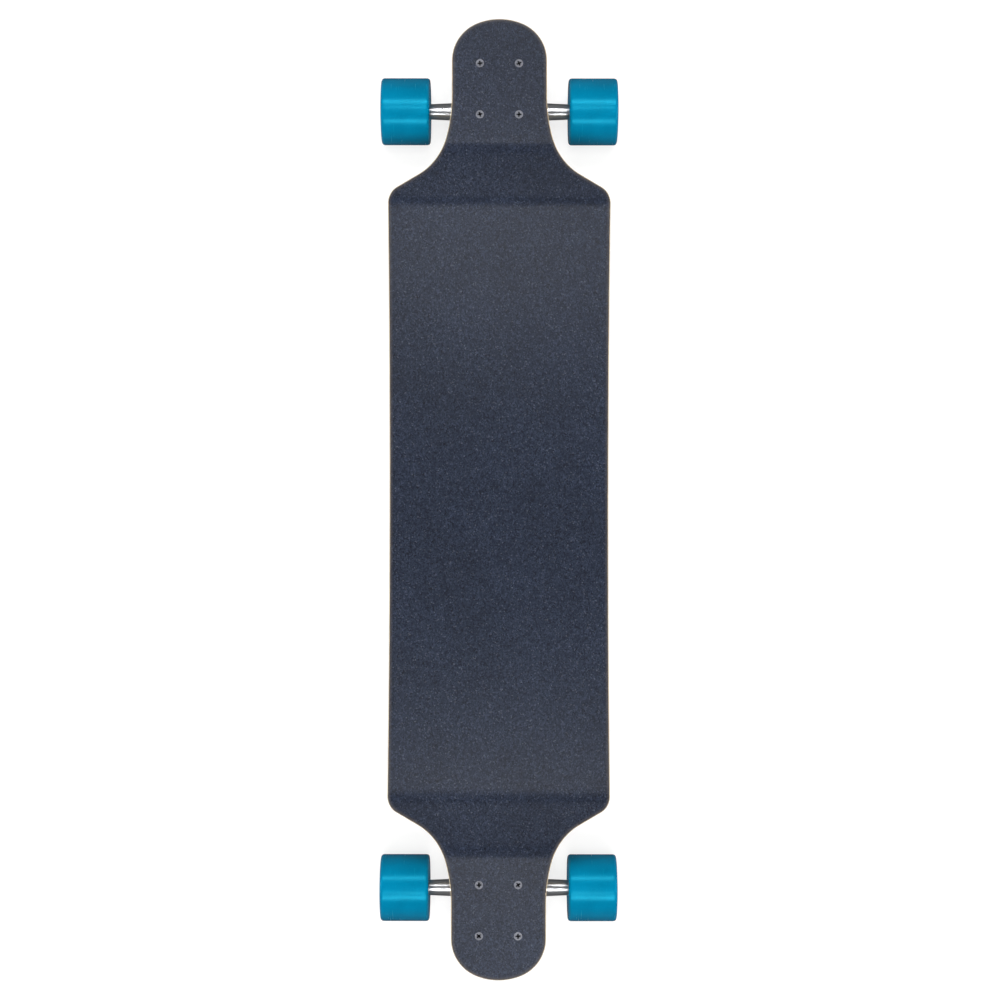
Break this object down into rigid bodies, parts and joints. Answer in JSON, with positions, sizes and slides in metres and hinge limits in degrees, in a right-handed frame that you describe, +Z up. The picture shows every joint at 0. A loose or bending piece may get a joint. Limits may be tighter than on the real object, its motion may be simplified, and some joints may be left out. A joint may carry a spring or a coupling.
{
  "type": "longboard skateboard",
  "caption": "Longboard skateboard with a dropped platform, narrow necks, leaning reverse-kingpin trucks and blue urethane wheels on ball bearings.",
  "frame": {"origin": "on the ground under the middle of the board", "axes": "+X to the nose, +Y to the left of a rider facing the nose, +Z up"},
  "size_m": [1.016, 0.2568, 0.1141],
  "materials": {
    "maple_laminate": "clear satin varnish, pale laminated edge",
    "griptape": "dark blue-grey abrasive grit",
    "zinc_steel": "bright zinc plate",
    "bearing_steel": "ground and polished",
    "cast_aluminium": "tumbled casting",
    "polished_aluminium": "polished casting",
    "black_urethane": "matt cast urethane",
    "bushing_urethane": "satin cast urethane",
    "wheel_urethane": "blue cast urethane, soft gloss",
    "core_nylon": "moulded white nylon",
    "shield_rubber": "black moulded rubber",
    "cage_nylon": "moulded natural nylon"
  },
  "bodies": {
    "board": {"deck": "maple_laminate", "grip_tape": "griptape", "front_truck_bolts": "zinc_steel", "front_truck_nuts": "zinc_steel", "front_baseplate": "cast_aluminium", "front_pivot_cup": "black_urethane", "front_kingpin": "zinc_steel", "front_kingpin_nut": "zinc_steel", "front_board_side_bushing": "bushing_urethane", "front_road_side_bushing": "bushing_urethane", "front_board_side_washer": "zinc_steel", "front_road_side_washer": "zinc_steel", "rear_truck_bolts": "zinc_steel", "rear_truck_nuts": "zinc_steel", "rear_baseplate": "cast_aluminium", "rear_pivot_cup": "black_urethane", "rear_kingpin": "zinc_steel", "rear_kingpin_nut": "zinc_steel", "rear_board_side_bushing": "bushing_urethane", "rear_road_side_bushing": "bushing_urethane", "rear_board_side_washer": "zinc_steel", "rear_road_side_washer": "zinc_steel"},
    "front_hanger": {"front_hanger": "polished_aluminium", "front_axle": "zinc_steel", "front_axle_nuts": "zinc_steel", "front_speed_rings": "zinc_steel", "front_bearing_spacers": "zinc_steel", "front_bearing_inner_rings": "bearing_steel"},
    "front_left_wheel": {"front_left_tyre": "wheel_urethane", "front_left_wheel_core": "core_nylon", "front_left_bearing_outer_rings": "bearing_steel", "front_left_bearing_shields": "shield_rubber"},
    "front_left_ball_train": {"front_left_bearing_balls": "bearing_steel", "front_left_bearing_cages": "cage_nylon"},
    "front_right_wheel": {"front_right_tyre": "wheel_urethane", "front_right_wheel_core": "core_nylon", "front_right_bearing_outer_rings": "bearing_steel", "front_right_bearing_shields": "shield_rubber"},
    "front_right_ball_train": {"front_right_bearing_balls": "bearing_steel", "front_right_bearing_cages": "cage_nylon"},
    "rear_hanger": {"rear_hanger": "polished_aluminium", "rear_axle": "zinc_steel", "rear_axle_nuts": "zinc_steel", "rear_speed_rings": "zinc_steel", "rear_bearing_spacers": "zinc_steel", "rear_bearing_inner_rings": "bearing_steel"},
    "rear_left_wheel": {"rear_left_tyre": "wheel_urethane", "rear_left_wheel_core": "core_nylon", "rear_left_bearing_outer_rings": "bearing_steel", "rear_left_bearing_shields": "shield_rubber"},
    "rear_left_ball_train": {"rear_left_bearing_balls": "bearing_steel", "rear_left_bearing_cages": "cage_nylon"},
    "rear_right_wheel": {"rear_right_tyre": "wheel_urethane", "rear_right_wheel_core": "core_nylon", "rear_right_bearing_outer_rings": "bearing_steel", "rear_right_bearing_shields": "shield_rubber"},
    "rear_right_ball_train": {"rear_right_bearing_balls": "bearing_steel", "rear_right_bearing_cages": "cage_nylon"}
  },
  "joints": [
    {"name": "front_steer", "type": "hinge", "parent": "board", "child": "front_hanger", "pos_m": [0.44026, 0, 0.06358], "axis": [0.7071, 0, 0.7071], "range_deg": [-20, 20], "stiffness_Nm_per_rad": 40, "deforming": ["front_board_side_bushing", "front_road_side_bushing"]},
    {"name": "front_left_spin", "type": "hinge", "parent": "front_hanger", "child": "front_left_wheel", "pos_m": [0.424, 0.1019, 0.036], "axis": [0, 1, 0], "continuous": true},
    {"name": "front_left_ball_roll", "type": "hinge", "parent": "front_hanger", "child": "front_left_ball_train", "pos_m": [0.424, 0.1019, 0.036], "axis": [0, 1, 0], "continuous": true},
    {"name": "front_right_spin", "type": "hinge", "parent": "front_hanger", "child": "front_right_wheel", "pos_m": [0.424, -0.1019, 0.036], "axis": [0, 1, 0], "continuous": true},
    {"name": "front_right_ball_roll", "type": "hinge", "parent": "front_hanger", "child": "front_right_ball_train", "pos_m": [0.424, -0.1019, 0.036], "axis": [0, 1, 0], "continuous": true},
    {"name": "rear_steer", "type": "hinge", "parent": "board", "child": "rear_hanger", "pos_m": [-0.44026, 0, 0.06358], "axis": [-0.7071, 0, 0.7071], "range_deg": [-20, 20], "stiffness_Nm_per_rad": 40, "deforming": ["rear_board_side_bushing", "rear_road_side_bushing"]},
    {"name": "rear_left_spin", "type": "hinge", "parent": "rear_hanger", "child": "rear_left_wheel", "pos_m": [-0.424, 0.1019, 0.036], "axis": [0, 1, 0], "continuous": true},
    {"name": "rear_left_ball_roll", "type": "hinge", "parent": "rear_hanger", "child": "rear_left_ball_train", "pos_m": [-0.424, 0.1019, 0.036], "axis": [0, 1, 0], "continuous": true},
    {"name": "rear_right_spin", "type": "hinge", "parent": "rear_hanger", "child": "rear_right_wheel", "pos_m": [-0.424, -0.1019, 0.036], "axis": [0, 1, 0], "continuous": true},
    {"name": "rear_right_ball_roll", "type": "hinge", "parent": "rear_hanger", "child": "rear_right_ball_train", "pos_m": [-0.424, -0.1019, 0.036], "axis": [0, 1, 0], "continuous": true}
  ],
  "couplings": [
    {"joint": "front_left_ball_roll", "follows": "front_left_spin", "ratio": 0.632},
    {"joint": "front_right_ball_roll", "follows": "front_right_spin", "ratio": 0.632},
    {"joint": "rear_left_ball_roll", "follows": "rear_left_spin", "ratio": 0.632},
    {"joint": "rear_right_ball_roll", "follows": "rear_right_spin", "ratio": 0.632}
  ]
}
